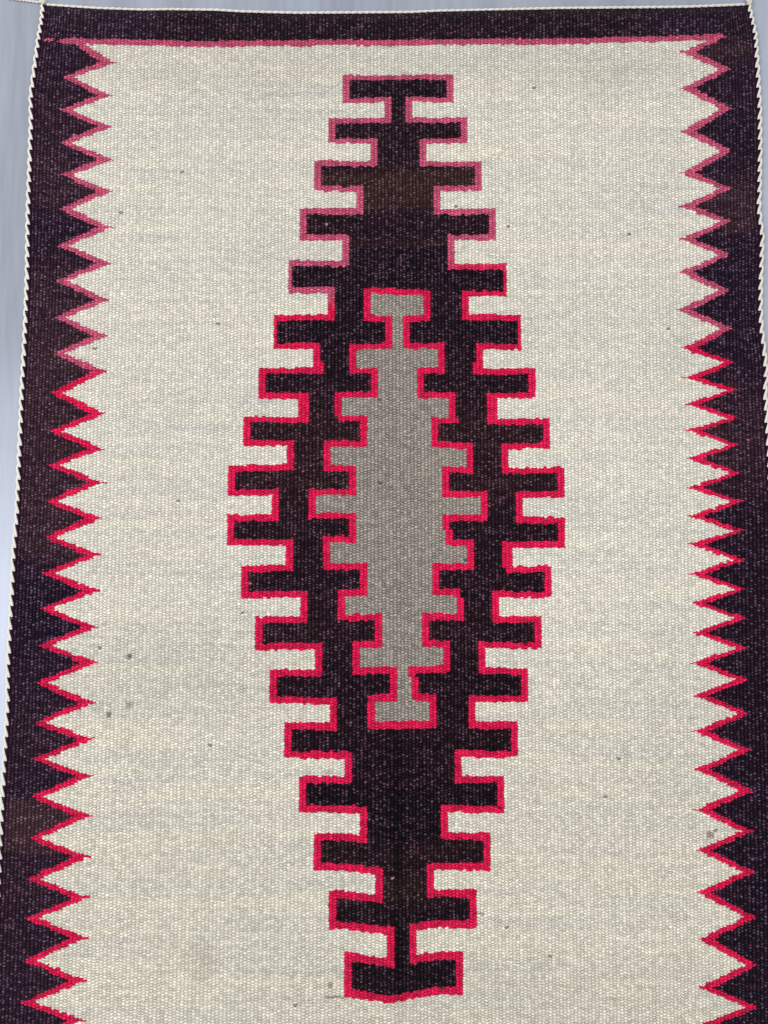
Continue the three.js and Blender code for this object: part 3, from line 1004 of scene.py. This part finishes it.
def twisted(shape, path, reach, radius):
    """Strands twisted round a path of millimetre points."""
    fine = []
    for first, second in zip(path, path[1:]):
        fine += [first.lerp(second, 0.0), first.lerp(second, 0.5)]
    fine.append(path[-1])
    for ply in range(YARN_PLIES):
        line, turned = [], 2 * math.pi * ply / YARN_PLIES
        for i, point in enumerate(fine):
            if i:
                turned += math.pi * (point - fine[i - 1]).length / YARN_HALF_TURN
            ahead = (fine[min(i + 1, len(fine) - 1)] - fine[max(i - 1, 0)]).normalized()
            across = ahead.cross(Vector((0, 0, 1))).normalized()
            up = across.cross(ahead)
            line.append(point + reach * (across * math.cos(turned) + up * math.sin(turned)))
        shape.tube(line, radius, YARN_SIDES)


def fray(shape, tip, heading, draw):
    """Loose fibres at a tail's end."""
    steps = len(FRAY_RADII) - 1
    for _ in range(FRAY_COUNT):
        angle = math.radians(heading + draw.uniform(-FRAY_SPREAD, FRAY_SPREAD))
        length = draw.uniform(3, 7)
        path = []
        for i in range(steps + 1):
            share = i / steps
            bend = angle + draw.uniform(-0.3, 0.3) * share
            step = Vector((math.cos(bend), math.sin(bend), 0)) * length * share
            path.append(tip + step + Vector((0, 0, -0.5 * share)))
        shape.tube(path, FRAY_RADII, 4)


def make_tie(name, side, end, material, draw):
    """A corner's overhand knot with its loose tails."""
    down = 0 if end > 0 else CLOTH_LENGTH
    edge = edge_x(side, down)
    middle = Vector((
        edge + side * (GAP + SIDE_REACH),
        end_y(end, edge) + end * (GAP + KNOT["along"] / 2),
        KNOT["height"] / 2,
    ))
    shape = Shape()
    reach_x = KNOT["across"] / 2 - KNOT_INSET
    reach_y = KNOT["along"] / 2 - KNOT_INSET
    reach_z = KNOT["height"] / 2 - KNOT_TOP_INSET
    knot = []
    for i in range(KNOT_STEPS + 1):
        t = 2 * math.pi * i / KNOT_STEPS
        knot.append(middle + Vector((
            (math.sin(t) + 2 * math.sin(2 * t)) / 3 * reach_x,
            (math.cos(t) - 2 * math.cos(2 * t)) / 3 * reach_y,
            -math.sin(3 * t) * reach_z,
        )))
    twisted(shape, knot, KNOT_PLY_REACH, KNOT_PLY_RADIUS)
    for heading, length, bend in TAILS[name]:
        path = tail_path(middle, heading, length, bend)
        twisted(shape, path, TAIL_PLY_REACH, TAIL_PLY_RADIUS)
        fray(shape, path[-1], heading + bend, draw)
    tie = shape.make(f"{name}_yarn", material)
    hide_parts(name)
    return tie


def make_stage():
    """The floor and the lights."""
    mesh = bpy.data.meshes.new("floor")
    corners = [(-1, -1), (1, -1), (1, 1), (-1, 1)]
    mesh.from_pydata([(x * FLOOR_REACH, y * FLOOR_REACH, 0) for x, y in corners], [], [(0, 1, 2, 3)])
    mesh.materials.append(floor_material())
    floor = bpy.data.objects.new("floor", mesh)
    floor.location.z = -FLOOR_DROP
    bpy.context.collection.objects.link(floor)

    world = bpy.data.worlds.new("studio")
    bpy.context.scene.world = world
    world.use_nodes = True
    background = world.node_tree.nodes["Background"]
    background.inputs[0].default_value = SKY
    background.inputs[1].default_value = SKY_STRENGTH
    for name, place, size, power in LIGHTS:
        light = bpy.data.lights.new(name, "AREA")
        light.size = size
        light.energy = power
        lamp = bpy.data.objects.new(name, light)
        lamp.location = place
        lamp.rotation_euler = Vector(place).to_track_quat("Z", "Y").to_euler()
        bpy.context.collection.objects.link(lamp)


def make_camera():
    """The camera of the photograph: high over the rug, tilted a little towards its top end."""
    data = bpy.data.cameras.new("camera")
    data.sensor_fit = "VERTICAL"
    data.sensor_height = SENSOR
    data.lens = LENS
    camera = bpy.data.objects.new("camera", data)
    camera.location = placed(*CAMERA_PLACE)
    camera.rotation_euler = (math.radians(CAMERA_TILT), 0, math.atan(END_CLIMB))
    bpy.context.collection.objects.link(camera)
    bpy.context.scene.camera = camera


def main():
    draw = random.Random(SEED)
    bpy.context.scene.view_settings.view_transform = "Standard"
    make_camera()
    weave = field_material()
    cream = yarn_material("cord_wool", CORD_CREAM)
    dark = yarn_material("weft_wool", BORDER_WOOLS[1])

    field = make_field(weave)
    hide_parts("woven_field")
    woollen, corded = [field], []
    for side in (-1, 1):
        cord, turns = make_side_cord(side, cream, dark, draw)
        corded.append(cord)
        woollen.append(turns)
    for end in (-1, 1):
        cord, turns = make_end_cord(end, cream, dark)
        corded.append(cord)
        woollen.append(turns)
    for end, row in ((1, "top"), (-1, "bottom")):
        for side, column in ((-1, "left"), (1, "right")):
            corded.append(make_tie(f"corner_tie_{row}_{column}", side, end, cream, draw))
    for piece in woollen + corded:
        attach(piece, "root")
    make_stage()


main()
